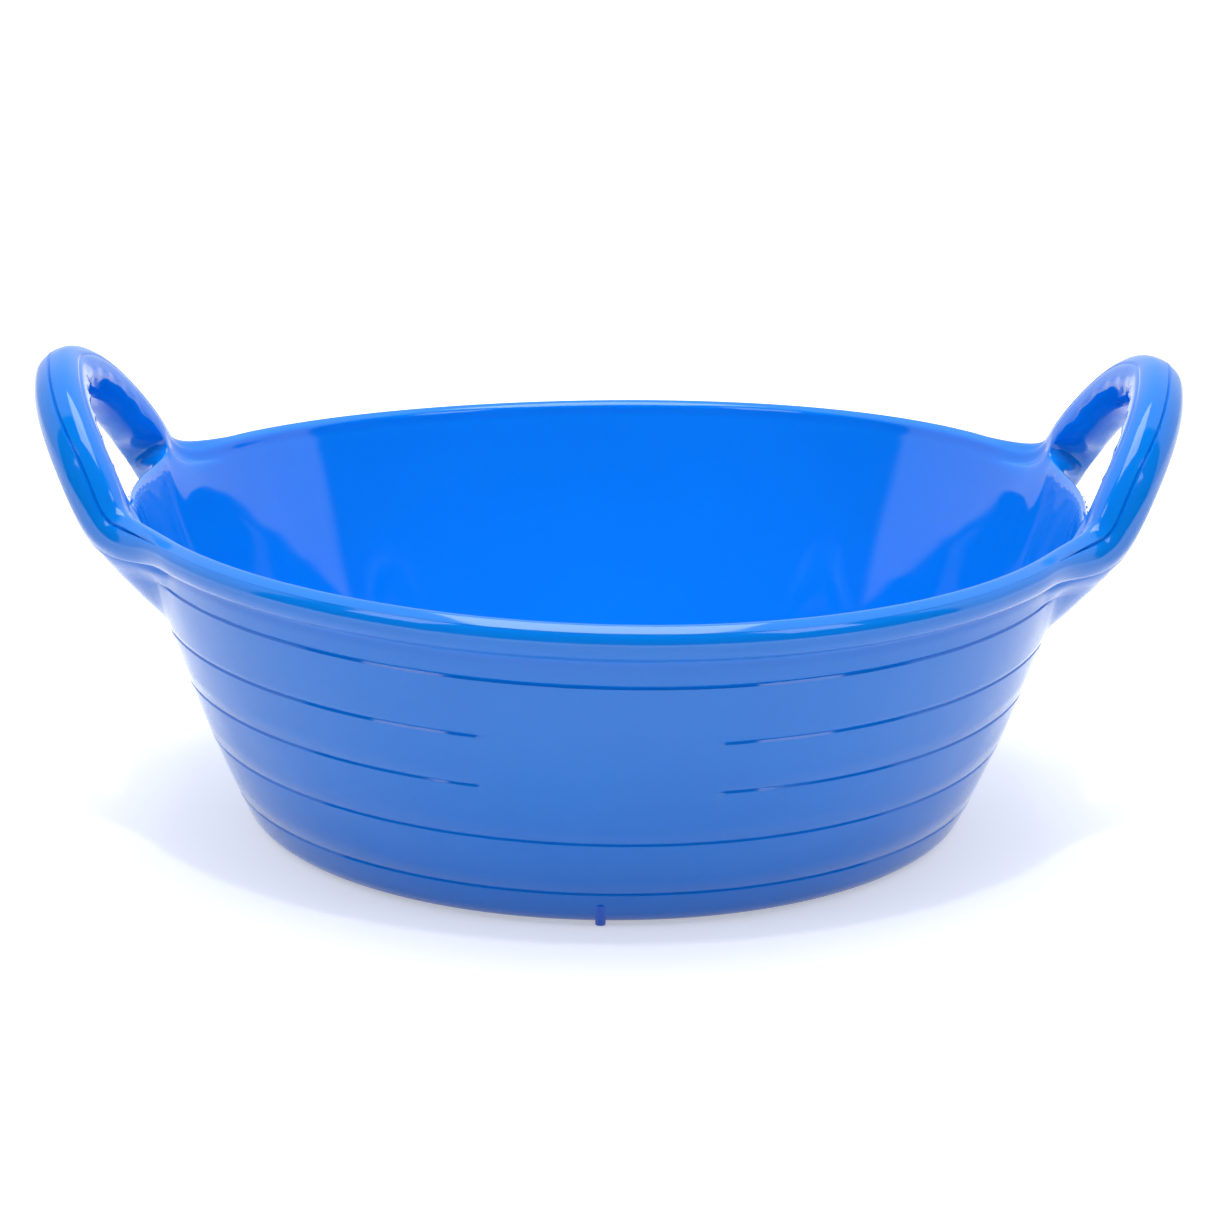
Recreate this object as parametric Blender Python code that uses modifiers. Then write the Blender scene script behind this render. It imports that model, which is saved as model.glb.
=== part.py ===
"""Shallow flexible feed tub with two loop handles.

Metres, +Z up, the tub standing on the floor at z = 0 with its handles along X
and its front towards -Y. The real tub is one moulding, so each object here is one
named region of it, parted from its neighbours by a hairline clearance.
"""
from math import asin, atan, cos, pi, radians, sin, sqrt

import bmesh
import bpy
from mathutils import Matrix, Vector

MM = 0.001

# Driving sizes of the bowl
WALL_FOOT_RADIUS = 162.9 * MM
WALL_THICKNESS = 3.0 * MM
WALL_BOW = 4.5 * MM
FLOOR_THICKNESS = 3.2 * MM
FLOOR_MARGIN = 5.0 * MM
CORNER_RADIUS = 13.0 * MM
INNER_CORNER_RADIUS = 7.5 * MM
BASE_COLLAR = 1.6 * MM

# Driving sizes of the rim
RIM_RADIUS = 212.5 * MM
RIM_HEIGHT = 139.6 * MM
BEAD_RADIUS = 7.5 * MM
BEAD_INNER_RADIUS = 4.0 * MM
BEAD_UNDERCUT = radians(68.0)
BEAD_INNER_TURNS = (radians(125.0), radians(160.0))
WALL_TOP_DROP = 8.1 * MM
LIP_THICKNESS = 5.0 * MM
LIP_FLARE = 4.5 * MM
LIP_RISE = 6.4 * MM

# Rings scored round the outside, as many as fit, two of them left out of the front panel
RING_FIRST_HEIGHT = 17.4 * MM
RING_PITCH = 25.4 * MM
RING_MARGIN = 8.0 * MM
RING_DEPTH = 0.8 * MM
RING_HALF_WIDTH = 1.6 * MM
PANEL_RINGS = (2, 3)
PANEL_WIDTH = 97.0 * MM

# Handle, as one smooth arch from the rim to its crown and back
GRIP_RADIUS = 12.4 * MM
GRIP_SPREAD = 146.8 * MM
GRIP_FOOT_STAND = 12.0 * MM
GRIP_FOOT_DROP = 1.1 * MM
GRIP_OVERHANG = 32.3 * MM
GRIP_ARCH = 55.8 * MM
GRIP_RISE = Vector((14.3, 12.4, 27.0)) * MM
GRIP_SHOULDER = Vector((3.5, 46.0, 2.4)) * MM
GRIP_START = 0.22

# Flared root under each end of a handle
ROOT_DROP = 49.6 * MM
ROOT_TIP_STAND = 1.7 * MM
ROOT_TIP_HALF_WIDTH = 2.0 * MM
ROOT_HALF_WIDTH = 28.0 * MM
ROOT_FLARE_POWER = 1.8

# Small round-nosed lug that fills the base corner at the front
LUG_WIDTH = 4.4 * MM
LUG_HEIGHT = 11.0 * MM
LUG_STAND = 0.8 * MM
LUG_DEPTH = 5.5 * MM
LUG_NOSE_RADIUS = 2.0 * MM
LUG_AZIMUTH = radians(-90.5)

# How far the soft moulding stands out of true at the rim
RIM_SADDLE = 2.6 * MM
RIM_TWIST = 2.0 * MM

# Clearance between neighbouring regions, and fineness of the round surfaces
CLEARANCE = 0.3 * MM
MERGE_DISTANCE = 0.01 * MM
SHARP_ANGLE = radians(35.0)
TURN_STEPS = 72
ARC_STEPS = 40
LIP_STEPS = 12
LIP_POINTS = 6
BEAD_POINTS = 8
WALL_POINTS = 7
CORNER_POINTS = 6
GRIP_POINTS = 25
GRIP_SIDE_STEPS = 6
ROOT_FLARE_LOOPS = 8
ROOT_BEND_LOOPS = 7
ROOT_POINTS = 20

BLUE = (0.012, 0.135, 0.72, 1.0)
ROUGHNESS = 0.28

WALL_TOP = RIM_HEIGHT - WALL_TOP_DROP
RIM_TOP = RIM_HEIGHT + BEAD_RADIUS
ROOT_TIP = RIM_HEIGHT - ROOT_DROP


def clear_scene():
    for item in list(bpy.data.objects):
        bpy.data.objects.remove(item, do_unlink=True)


def new_collection(name):
    group = bpy.data.collections.new(name)
    bpy.context.scene.collection.children.link(group)
    return group


def new_material(name):
    """Glossy blue polyethylene, one material for each region."""
    material = bpy.data.materials.new(name + "_polyethylene")
    material.use_nodes = True
    shader = material.node_tree.nodes["Principled BSDF"]
    shader.inputs["Base Color"].default_value = BLUE
    shader.inputs["Roughness"].default_value = ROUGHNESS
    shader.inputs["Metallic"].default_value = 0.0
    return material


def add_object(name, mesh, group):
    item = bpy.data.objects.new(name, mesh)
    group.objects.link(item)
    return item


# Shape of the bowl

def wall_radius(height):
    """Outer radius of the bowed wall at a height."""
    share = height / RIM_HEIGHT
    straight = WALL_FOOT_RADIUS + (RIM_RADIUS - WALL_FOOT_RADIUS) * share
    return straight + 4.0 * WALL_BOW * share * (1.0 - share)


def wall_slope(height):
    """Outward run of the wall for each metre of rise."""
    share = height / RIM_HEIGHT
    return (RIM_RADIUS - WALL_FOOT_RADIUS + 4.0 * WALL_BOW * (1.0 - 2.0 * share)) / RIM_HEIGHT


def wall_point(height, inset=0.0):
    """Point (radius, height) of the wall's outer face, or set in from it."""
    return (wall_radius(height) - inset / cos(atan(wall_slope(height))), height)


def wall_line(low, high, inset=0.0):
    """Points down the wall from high to low."""
    step = (high - low) / (WALL_POINTS - 1)
    return [wall_point(high - step * i, inset) for i in range(WALL_POINTS)]


def corner_arc(radius, floor_height, inset):
    """Points (radius, height) round the corner, from the wall down to the floor."""
    lean = atan(wall_slope(0.0))
    offset = inset / cos(lean)
    reach = radius * (1.0 - sin(lean)) / cos(lean)
    foot = WALL_FOOT_RADIUS - offset + wall_slope(0.0) * floor_height
    centre = (foot - reach, floor_height + radius)
    points = []
    for step in range(CORNER_POINTS):
        angle = -lean - (pi / 2 - lean) * step / (CORNER_POINTS - 1)
        points.append((centre[0] + radius * cos(angle), centre[1] + radius * sin(angle)))
    return points


def base_top():
    """Height at which the base ends and the wall begins, clear of both corner roundings."""
    rise = 1.0 - sin(atan(wall_slope(0.0)))
    outer_end = CORNER_RADIUS * rise
    inner_end = FLOOR_THICKNESS + INNER_CORNER_RADIUS * rise
    return max(outer_end, inner_end) + BASE_COLLAR


def relax(mesh):
    """Let the mesh stand as the soft tub does: the rim rises to its handles and twists a little."""
    for vertex in mesh.vertices:
        x, y, z = vertex.co
        share = min(max(z / RIM_HEIGHT, 0.0), 1.0)
        reach = max(x * x + y * y, WALL_FOOT_RADIUS ** 2)
        lift = (RIM_SADDLE * (x * x - y * y) + RIM_TWIST * 2.0 * x * y) / reach
        vertex.co.z = z + share * (2.0 - share) * lift


# Makers of meshes

def turned(name, profile, group, closed, start=0.0):
    """A profile of (radius, height) points turned about Z with a Screw modifier."""
    mesh = bpy.data.meshes.new(name)
    edges = [(i, i + 1) for i in range(len(profile) - 1)]
    if closed:
        edges.append((len(profile) - 1, 0))
    places = [(radius * cos(start), radius * sin(start), height) for radius, height in profile]
    mesh.from_pydata(places, edges, [])
    item = add_object(name, mesh, group)
    screw = item.modifiers.new("turn", "SCREW")
    screw.angle = 2 * pi
    screw.steps = TURN_STEPS
    screw.render_steps = TURN_STEPS
    screw.use_merge_vertices = True
    screw.merge_threshold = MERGE_DISTANCE
    screw.use_smooth_shade = True
    return item


def swept(name, section, start, sweep, steps, group):
    """A closed section of (radius, height) points swept about Z through part of a turn."""
    shape = bmesh.new()
    corners = [
        shape.verts.new((radius * cos(start), radius * sin(start), height))
        for radius, height in section
    ]
    face = shape.faces.new(corners)
    bmesh.ops.spin(
        shape,
        geom=[face] + list(face.edges) + corners,
        cent=(0.0, 0.0, 0.0),
        axis=(0.0, 0.0, 1.0),
        angle=sweep,
        steps=steps,
    )
    return mesh_object(name, shape, group)


def lofted(name, loops, group):
    """A closed solid through loops that all have the same number of points."""
    shape = bmesh.new()
    rings = [[shape.verts.new(point) for point in loop] for loop in loops]
    count = len(rings[0])
    for lower, upper in zip(rings, rings[1:]):
        for i in range(count):
            j = (i + 1) % count
            shape.faces.new((lower[i], lower[j], upper[j], upper[i]))
    shape.faces.new(list(reversed(rings[0])))
    shape.faces.new(rings[-1])
    bmesh.ops.triangulate(shape, faces=shape.faces, quad_method="FIXED")
    return mesh_object(name, shape, group)


def mesh_object(name, shape, group):
    bmesh.ops.recalc_face_normals(shape, faces=shape.faces)
    mesh = bpy.data.meshes.new(name)
    shape.to_mesh(mesh)
    shape.free()
    return add_object(name, mesh, group)


def cut(item, cutters):
    for cutter in cutters:
        boolean = item.modifiers.new("cut_" + cutter.name, "BOOLEAN")
        boolean.operation = "DIFFERENCE"
        boolean.solver = "EXACT"
        boolean.object = cutter


def finish(item, group):
    """Apply the modifiers, relax the shape and leave one plain mesh under the same name."""
    bpy.context.view_layer.update()
    graph = bpy.context.evaluated_depsgraph_get()
    mesh = bpy.data.meshes.new_from_object(item.evaluated_get(graph))
    name = item.name
    bpy.data.objects.remove(item, do_unlink=True)
    relax(mesh)
    mesh.name = name
    mesh.shade_smooth()
    mesh.set_sharp_from_angle(angle=SHARP_ANGLE)
    mesh.materials.clear()
    mesh.materials.append(new_material(name))
    return add_object(name, mesh, group)


# Regions of the bowl

def floor_radius():
    """Edge of the flat floor panel, inside where the corner begins to round."""
    return corner_arc(CORNER_RADIUS, 0.0, 0.0)[-1][0] - FLOOR_MARGIN


def make_floor(group):
    edge = floor_radius()
    profile = [(0.0, FLOOR_THICKNESS), (edge, FLOOR_THICKNESS), (edge, 0.0), (0.0, 0.0)]
    return turned("floor_panel", profile, group, closed=False)


def make_corner(group):
    """Rounded corner between the floor and the wall."""
    top = base_top()
    edge = floor_radius() + CLEARANCE
    inner = corner_arc(INNER_CORNER_RADIUS, FLOOR_THICKNESS, WALL_THICKNESS)
    profile = [(edge, FLOOR_THICKNESS)]
    profile += list(reversed(inner))
    profile += [wall_point(top, WALL_THICKNESS), wall_point(top)]
    profile += corner_arc(CORNER_RADIUS, 0.0, 0.0)
    profile += [(edge, 0.0)]
    return turned("base_corner", profile, group, closed=True)


def make_wall(group, ring_cutters):
    low = base_top() + CLEARANCE
    outer = wall_line(low, WALL_TOP)
    inner = wall_line(low, WALL_TOP, WALL_THICKNESS)
    wall = turned("wall_shell", outer + list(reversed(inner)), group, closed=True)
    cut(wall, ring_cutters)
    return wall


def make_ring_cutters(group):
    """V grooves: whole rings, and rings that stop at each side of the front panel.

    A whole ring starts half a step round, so that its edges cross the wall's faces.
    """
    count = int((WALL_TOP - RING_MARGIN - RING_FIRST_HEIGHT) / RING_PITCH) + 1
    cutters = []
    for ring in range(1, count + 1):
        height = RING_FIRST_HEIGHT + (count - ring) * RING_PITCH
        radius = wall_radius(height)
        lean = wall_slope(height) * RING_HALF_WIDTH
        section = [
            (radius + RING_DEPTH + lean, height + RING_HALF_WIDTH),
            (radius + RING_DEPTH - lean, height - RING_HALF_WIDTH),
            (radius - RING_DEPTH, height),
        ]
        name = "ring_cutter_%d" % ring
        if ring in PANEL_RINGS:
            gap = PANEL_WIDTH / radius
            steps = TURN_STEPS - round(gap * TURN_STEPS / (2 * pi))
            start = -pi / 2 + gap / 2
            cutters.append(swept(name, section, start, 2 * pi - gap, steps, group))
        else:
            cutters.append(turned(name, section, group, closed=True, start=pi / TURN_STEPS))
    return cutters


def bead_section():
    """Rolled edge: round outside and above, flush with the wall inside."""
    low = WALL_TOP + CLEARANCE
    points = [(wall_point(WALL_TOP, WALL_THICKNESS)[0], low), (wall_point(WALL_TOP)[0], low)]
    first = -BEAD_UNDERCUT
    for step in range(BEAD_POINTS):
        angle = first + (pi / 2 - first) * step / (BEAD_POINTS - 1)
        points.append((RIM_RADIUS + BEAD_RADIUS * cos(angle), RIM_HEIGHT + BEAD_RADIUS * sin(angle)))
    centre = RIM_TOP - BEAD_INNER_RADIUS
    for angle in BEAD_INNER_TURNS:
        points.append((
            RIM_RADIUS + BEAD_INNER_RADIUS * cos(angle),
            centre + BEAD_INNER_RADIUS * sin(angle),
        ))
    return points


def make_beads(group, root_cutters):
    """The rolled edge at the front and the rear, from one handle's root to the other's."""
    reach = foot_azimuth()
    beads = []
    for name, start in (("rim_bead_rear", reach), ("rim_bead_front", pi + reach)):
        bead = swept(name, bead_section(), start, pi - 2 * reach, ARC_STEPS, group)
        cut(bead, root_cutters)
        beads.append(bead)
    return beads


def make_lips(group, root_cutters):
    """Thin flared edge of the wall below each hand hole."""
    low = WALL_TOP + CLEARANCE
    wall_outer = wall_point(WALL_TOP)[0]
    wall_inner = wall_point(WALL_TOP, WALL_THICKNESS)[0]
    half = LIP_THICKNESS / 2
    middle = (wall_outer + wall_inner) / 2 + LIP_FLARE
    centre = RIM_HEIGHT + LIP_RISE - half
    section = [(wall_inner, low), (wall_outer, low)]
    for step in range(LIP_POINTS):
        angle = pi * step / (LIP_POINTS - 1)
        section.append((middle + half * cos(angle), centre + half * sin(angle)))
    reach = foot_azimuth()
    lips = []
    for name, azimuth in (("hand_hole_lip_right", 0.0), ("hand_hole_lip_left", pi)):
        lip = swept(name, section, azimuth - reach, 2 * reach, LIP_STEPS, group)
        cut(lip, root_cutters)
        lips.append(lip)
    return lips


# Handles

def foot_point():
    """Middle of a handle's end, over the rim."""
    half = GRIP_SPREAD / 2
    return Vector((sqrt(foot_radius() ** 2 - half ** 2), half, RIM_HEIGHT - GRIP_FOOT_DROP))


def foot_radius():
    return RIM_RADIUS + GRIP_FOOT_STAND


def foot_azimuth():
    """Angle from X at which a handle's end stands over the rim."""
    return asin(GRIP_SPREAD / 2 / foot_radius())


def grip_centre(share):
    """Point on one half of the handle's arch, from foot (0) to crown (1), with y positive."""
    foot = foot_point()
    crown = Vector((RIM_RADIUS + GRIP_OVERHANG, 0.0, RIM_HEIGHT + GRIP_ARCH))
    rise = Vector((GRIP_RISE.x, -GRIP_RISE.y, GRIP_RISE.z))
    shoulder = Vector((-GRIP_SHOULDER.x, GRIP_SHOULDER.y, -GRIP_SHOULDER.z))
    stations = (foot, foot + rise, crown + shoulder, crown)
    rest = 1.0 - share
    weights = (rest ** 3, 3 * rest ** 2 * share, 3 * rest * share ** 2, share ** 3)
    return sum((weight * point for weight, point in zip(weights, stations)), Vector())


def grip_run(share):
    """How fast and which way the arch runs at a share of its half."""
    step = 0.01
    return (grip_centre(share + step) - grip_centre(share - step)) / (2 * step)


def make_grip(name, side, group):
    """The round bar of a handle, from one root to the other."""
    count = GRIP_POINTS // 2
    start = GRIP_START + CLEARANCE / grip_run(GRIP_START).length
    half = [grip_centre(start + (1.0 - start) * i / count) for i in range(count + 1)]
    path = half + [Vector((p.x, -p.y, p.z)) for p in reversed(half[:-1])]
    curve = bpy.data.curves.new(name, "CURVE")
    curve.dimensions = "3D"
    curve.bevel_depth = GRIP_RADIUS
    curve.bevel_resolution = GRIP_SIDE_STEPS
    curve.use_fill_caps = True
    spline = curve.splines.new("POLY")
    spline.points.add(len(path) - 1)
    for point, place in zip(spline.points, path):
        point.co = (side * place.x, place.y, place.z, 1.0)
    line = bpy.data.objects.new(name + "_line", curve)
    group.objects.link(line)
    bpy.context.view_layer.update()
    graph = bpy.context.evaluated_depsgraph_get()
    mesh = bpy.data.meshes.new_from_object(line.evaluated_get(graph))
    bpy.data.objects.remove(line, do_unlink=True)
    shape = bmesh.new()
    shape.from_mesh(mesh)
    bmesh.ops.remove_doubles(shape, verts=shape.verts, dist=MERGE_DISTANCE)
    bpy.data.meshes.remove(mesh)
    return mesh_object(name, shape, group)


def root_loops(grow):
    """Loops of a handle root: up the wall as it flares, then bending over to meet the grip."""
    azimuth = foot_azimuth()
    outward = Vector((cos(azimuth), sin(azimuth), 0.0))
    across = Vector((sin(azimuth), -cos(azimuth), 0.0))
    upward = Vector((0.0, 0.0, 1.0))
    foot_height = foot_point().z
    full_stand = foot_radius() + GRIP_RADIUS - wall_radius(foot_height)
    loops = []
    for step in range(ROOT_FLARE_LOOPS):
        share = step / (ROOT_FLARE_LOOPS - 1)
        height = ROOT_TIP + (WALL_TOP - ROOT_TIP) * share
        climb = (height - ROOT_TIP) / (foot_height - ROOT_TIP)
        stand = ROOT_TIP_STAND + (full_stand - ROOT_TIP_STAND) * climb ** ROOT_FLARE_POWER
        outer = wall_radius(height) + stand
        inner = wall_point(height, WALL_THICKNESS)[0]
        middle = outward * (outer + inner) / 2 + upward * height
        reach = (outer - inner) / 2
        half = ROOT_TIP_HALF_WIDTH + (ROOT_HALF_WIDTH - ROOT_TIP_HALF_WIDTH) * share
        loops.append(oval(middle, outward * (reach + grow), across * (half + grow)))
    end = grip_centre(GRIP_START)
    along = grip_run(GRIP_START).normalized()
    span = (end - middle).length
    for step in range(1, ROOT_BEND_LOOPS + 1):
        share = step / ROOT_BEND_LOOPS
        centre = hermite(middle, upward * span, end, along * span, share)
        axis = upward.lerp(along, share).normalized()
        side = (across - across.dot(axis) * axis).normalized()
        out = axis.cross(side)
        ease = share * share * (3 - 2 * share)
        out_reach = reach + (GRIP_RADIUS - reach) * ease + grow
        side_reach = half + (GRIP_RADIUS - half) * ease + grow
        lift = axis * (grow if step == ROOT_BEND_LOOPS else 0.0)
        loops.append(oval(centre + lift, out * out_reach, side * side_reach))
    return loops


def hermite(first, first_run, last, last_run, share):
    """Point on the smooth path between two places with a given run at each."""
    square = share * share
    cube = square * share
    return (
        first * (2 * cube - 3 * square + 1)
        + first_run * (cube - 2 * square + share)
        + last * (3 * square - 2 * cube)
        + last_run * (cube - square)
    )


def oval(centre, long_axis, short_axis):
    angles = [2 * pi * i / ROOT_POINTS for i in range(ROOT_POINTS)]
    return [centre + long_axis * cos(a) + short_axis * sin(a) for a in angles]


def make_root(name, side_x, side_y, group, grow=0.0):
    loops = [
        [Vector((side_x * p.x, side_y * p.y, p.z)) for p in loop] for loop in root_loops(grow)
    ]
    return lofted(name, loops, group)


ROOTS = (
    ("handle_root_right_rear", 1, 1),
    ("handle_root_right_front", 1, -1),
    ("handle_root_left_rear", -1, 1),
    ("handle_root_left_front", -1, -1),
)


def make_body_cutter(group):
    """Solid bowl, one clearance larger than the wall, that trims what stands on the outside."""
    top = WALL_TOP + CLEARANCE
    outer = wall_line(base_top(), WALL_TOP) + corner_arc(CORNER_RADIUS, 0.0, 0.0)
    profile = [(0.0, top), (wall_radius(WALL_TOP) + CLEARANCE, top)]
    profile += [(radius + CLEARANCE, height) for radius, height in outer]
    profile += [(outer[-1][0], -CLEARANCE), (0.0, -CLEARANCE)]
    return turned("body_cutter", profile, group, closed=False)


def make_lug(group, body_cutter):
    """Upright rib with a round nose that leans with the wall."""
    nose = wall_radius(0.0) + LUG_STAND
    shape = bmesh.new()
    bmesh.ops.create_cube(shape, size=1.0)
    bmesh.ops.scale(shape, vec=(LUG_DEPTH, LUG_WIDTH, LUG_HEIGHT), verts=shape.verts)
    middle = Vector((nose - LUG_DEPTH / 2, 0.0, LUG_HEIGHT / 2))
    bmesh.ops.translate(shape, vec=middle, verts=shape.verts)
    corners = [edge for edge in shape.edges if all(v.co.x > middle.x for v in edge.verts)]
    upright = [edge for edge in corners if edge.verts[0].co.y * edge.verts[1].co.y > 0]
    bmesh.ops.bevel(
        shape, geom=upright, offset=LUG_NOSE_RADIUS, segments=4, profile=0.5, affect="EDGES"
    )
    for vertex in shape.verts:
        vertex.co.x += wall_slope(0.0) * vertex.co.z
    turn = Matrix.Rotation(LUG_AZIMUTH, 3, "Z")
    bmesh.ops.rotate(shape, cent=(0.0, 0.0, 0.0), matrix=turn, verts=shape.verts)
    lug = mesh_object("base_lug_front", shape, group)
    cut(lug, [body_cutter])
    return lug


def main():
    clear_scene()
    tub = new_collection("feed_tub")
    cutters = new_collection("cutters")
    ring_cutters = make_ring_cutters(cutters)
    body_cutter = make_body_cutter(cutters)
    root_cutters = {
        name: make_root(name + "_cutter", sx, sy, cutters, CLEARANCE) for name, sx, sy in ROOTS
    }
    every_root = list(root_cutters.values())

    pieces = [make_floor(tub), make_corner(tub), make_wall(tub, ring_cutters)]
    pieces.append(make_lug(tub, body_cutter))
    pieces += make_beads(tub, every_root)
    pieces += make_lips(tub, every_root)
    for name, side_x, side_y in ROOTS:
        root = make_root(name, side_x, side_y, tub)
        cut(root, [body_cutter])
        pieces.append(root)
    pieces.append(make_grip("handle_grip_right", 1, tub))
    pieces.append(make_grip("handle_grip_left", -1, tub))
    for piece in pieces:
        finish(piece, tub)
    for cutter in cutters.objects:
        cutter.hide_render = True
        cutter.display_type = "WIRE"


main()
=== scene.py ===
from math import atan, atan2, cos, hypot, pi, radians, sin, sqrt

import bmesh
import bpy
from bpy.props import FloatProperty, PointerProperty, StringProperty
from mathutils import Euler, Matrix, Vector


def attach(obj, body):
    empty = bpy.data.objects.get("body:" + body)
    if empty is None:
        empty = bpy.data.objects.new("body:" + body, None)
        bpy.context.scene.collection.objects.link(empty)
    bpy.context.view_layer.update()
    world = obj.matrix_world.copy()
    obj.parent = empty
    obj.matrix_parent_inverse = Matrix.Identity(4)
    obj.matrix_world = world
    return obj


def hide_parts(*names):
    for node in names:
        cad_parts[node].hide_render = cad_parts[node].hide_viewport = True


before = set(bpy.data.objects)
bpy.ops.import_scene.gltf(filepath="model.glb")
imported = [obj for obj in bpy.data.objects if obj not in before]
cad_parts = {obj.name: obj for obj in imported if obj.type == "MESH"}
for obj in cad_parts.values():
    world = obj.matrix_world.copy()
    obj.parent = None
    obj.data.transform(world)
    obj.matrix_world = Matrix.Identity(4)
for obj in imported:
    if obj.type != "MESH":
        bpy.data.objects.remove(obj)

bl_info = {
    "name": "Feed Tub",
    "version": (1, 0, 0),
    "blender": (4, 5, 0),
    "location": "3D View > Sidebar > Feed Tub",
    "description": "Shallow flexible feed tub with two loop handles, and a plain studio round it",
    "category": "Add Mesh",
}

MM = 0.001

# The tub is made from a coarse cage of columns round Z and rows over the rim, then subdivided.
# ZONE is the first column of the plain rim and HOLE the last one of the hand hole, both counted
# from the middle of a handle. The cage starts as a plain cylinder BAND_DEPTH deep, and in
# DRAWING_ROUNDS its rounded surface is brought onto the places that it has to pass through.
COLUMNS = 120
ZONE = 10
HOLE = 6
LEVELS = 2
DRAWING_ROUNDS = 4
BAND_DEPTH = 0.1

# Folds sharper than SHARP_TURN stay sharp in the shading, so that the scored rings read as cuts.
# The creases hold the rings and the folds of the webs while the cage is subdivided.
SHARP_TURN = radians(35)
RING_CREASE = 1.0
FOLD_CREASE = 0.6

# Rings scored round the outside, highest first
RING_HEIGHTS = (119.3 * MM, 92.9 * MM, 69.1 * MM, 43.6 * MM, 17.2 * MM)
PANEL_RINGS = (1, 2)

# Ease, along a ring, from its full depth to the bare panel
PANEL_FADE = 3 * MM

# Height at which the wall turns out into the flared edge of a hand hole
LIP_FOOT = 131.5 * MM

# How near to a height an open edge of the mesh has to lie to be the one that is carried on there
NEAR = 4 * MM

# How far below the lug's height a point may lie and still be on its top
LUG_TOP_SLACK = 0.1 * MM

# Steps round the corner between wall and floor, and the rings of the flat floor as shares of it
CORNER_STEPS = 8
FLOOR_SHARES = (0.96, 0.7, 0.4, 0.1)


def length(name, description, millimetres):
    """A size in metres whose default is written in millimetres."""
    return FloatProperty(
        name=name, description=description, default=millimetres * MM, unit="LENGTH", precision=5
    )


def angle(name, description, in_degrees):
    """An angle whose default is written in degrees."""
    return FloatProperty(
        name=name, description=description, default=radians(in_degrees), unit="ROTATION"
    )


class FeedTubSizes(bpy.types.PropertyGroup):
    """Sizes of the moulding."""

    foot_radius: length("Foot radius", "Outer radius of the wall, carried down to the floor", 162.9)
    wall_bow: length("Wall bow", "How far the wall bows out at mid height", 4.5)
    wall_thickness: length("Wall thickness", "Thickness of the wall at its top and foot", 3.0)
    wall_swell: length("Wall swell", "How much thicker the wall is half way up", 2.0)
    floor_thickness: length("Floor thickness", "Thickness of the floor", 3.2)
    corner_radius: length("Corner radius", "Rounding between the wall and the underside", 13.0)
    inner_corner_radius: length("Inner corner radius", "Rounding inside, at the floor", 7.5)
    rim_radius: length("Rim radius", "Radius of the middle of the rolled rim", 212.5)
    rim_height: length("Rim height", "Height of the middle of the rolled rim", 139.6)
    bead_radius: length("Bead radius", "Radius of the rolled rim", 7.49)
    ring_depth: length("Ring depth", "Depth of the scored rings", 0.8)
    ring_half_width: length("Ring half width", "Half the width of a scored ring", 0.9)
    panel_width: length("Panel width", "Width of the bare panel at the front", 97.0)
    grip_radius: length("Grip radius", "Radius of the round bar of a handle", 12.4)
    grip_spread: length("Grip spread", "Distance between the two feet of a handle", 146.8)
    grip_foot_stand: length("Foot stand", "How far a handle's foot stands out of the rim", 12.0)
    grip_foot_drop: length("Foot drop", "How far a handle's foot lies below the rim's middle", 1.1)
    grip_overhang: length("Overhang", "How far a handle leans out past the rim", 32.3)
    grip_arch: length("Arch", "Height of a handle's crown above the rim's middle", 54.7)
    lip_thickness: length("Lip thickness", "Thickness of the wall's edge in a hand hole", 5.0)
    lip_flare: length("Lip flare", "How far that edge flares out of the wall", 4.5)
    lip_rise: length("Lip rise", "Height of that edge above the rim's middle", 6.4)
    web_stand: length("Web stand", "How far a web stands out of the wall at the rim", 24.3)
    web_drop: length("Web drop", "How far a web runs down the wall below the rim's middle", 49.6)
    rim_saddle: length("Rim saddle", "How far the rim rises to its handles", 2.6)
    rim_twist: length("Rim twist", "How far the soft rim stands twisted", 2.0)
    lug_width: length("Lug width", "Width of the small lug on the base", 4.4)
    lug_height: length("Lug height", "Height of the lug", 11.0)
    lug_depth: length("Lug depth", "Depth of the lug from its nose", 5.5)
    lug_stand: length("Lug stand", "How far the lug stands out of the wall", 0.8)
    lug_nose: length("Lug nose", "Rounding of the lug's two outer edges", 2.0)
    lug_rounding: length("Lug rounding", "Rounding of the lug's top edge", 0.6)
    front: angle("Front", "Direction of the panel's and the lug's middle", -90.5)


class FeedTubColours(bpy.types.PropertyGroup):
    """Colours, as sRGB hex values."""

    blue: StringProperty(name="Blue", description="Polyethylene", default="0378DF")
    deep_blue: StringProperty(
        name="Deep blue", description="Slow drift of the blue", default="0273D5"
    )
    floor: StringProperty(name="Floor", description="Pale studio floor", default="EAEAEA")


def sizes():
    return bpy.context.scene.feed_tub_sizes


def colours():
    return bpy.context.scene.feed_tub_colours


def linear(hex_value):
    """Linear RGBA of an sRGB hex value."""
    channels = [int(hex_value[i:i + 2], 16) / 255 for i in (0, 2, 4)]
    return [c / 12.92 if c <= 0.04045 else ((c + 0.055) / 1.055) ** 2.4 for c in channels] + [1.0]


def smooth(share):
    """Ease from 0 to 1."""
    share = min(max(share, 0.0), 1.0)
    return share * share * (3 - 2 * share)


def mix(first, last, share):
    return first + (last - first) * share


# Shape of the bowl

def wall_radius(height):
    s = sizes()
    share = height / s.rim_height
    return mix(s.foot_radius, s.rim_radius, share) + 4 * s.wall_bow * share * (1 - share)


def wall_slope(height):
    s = sizes()
    share = height / s.rim_height
    return (s.rim_radius - s.foot_radius + 4 * s.wall_bow * (1 - 2 * share)) / s.rim_height


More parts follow.
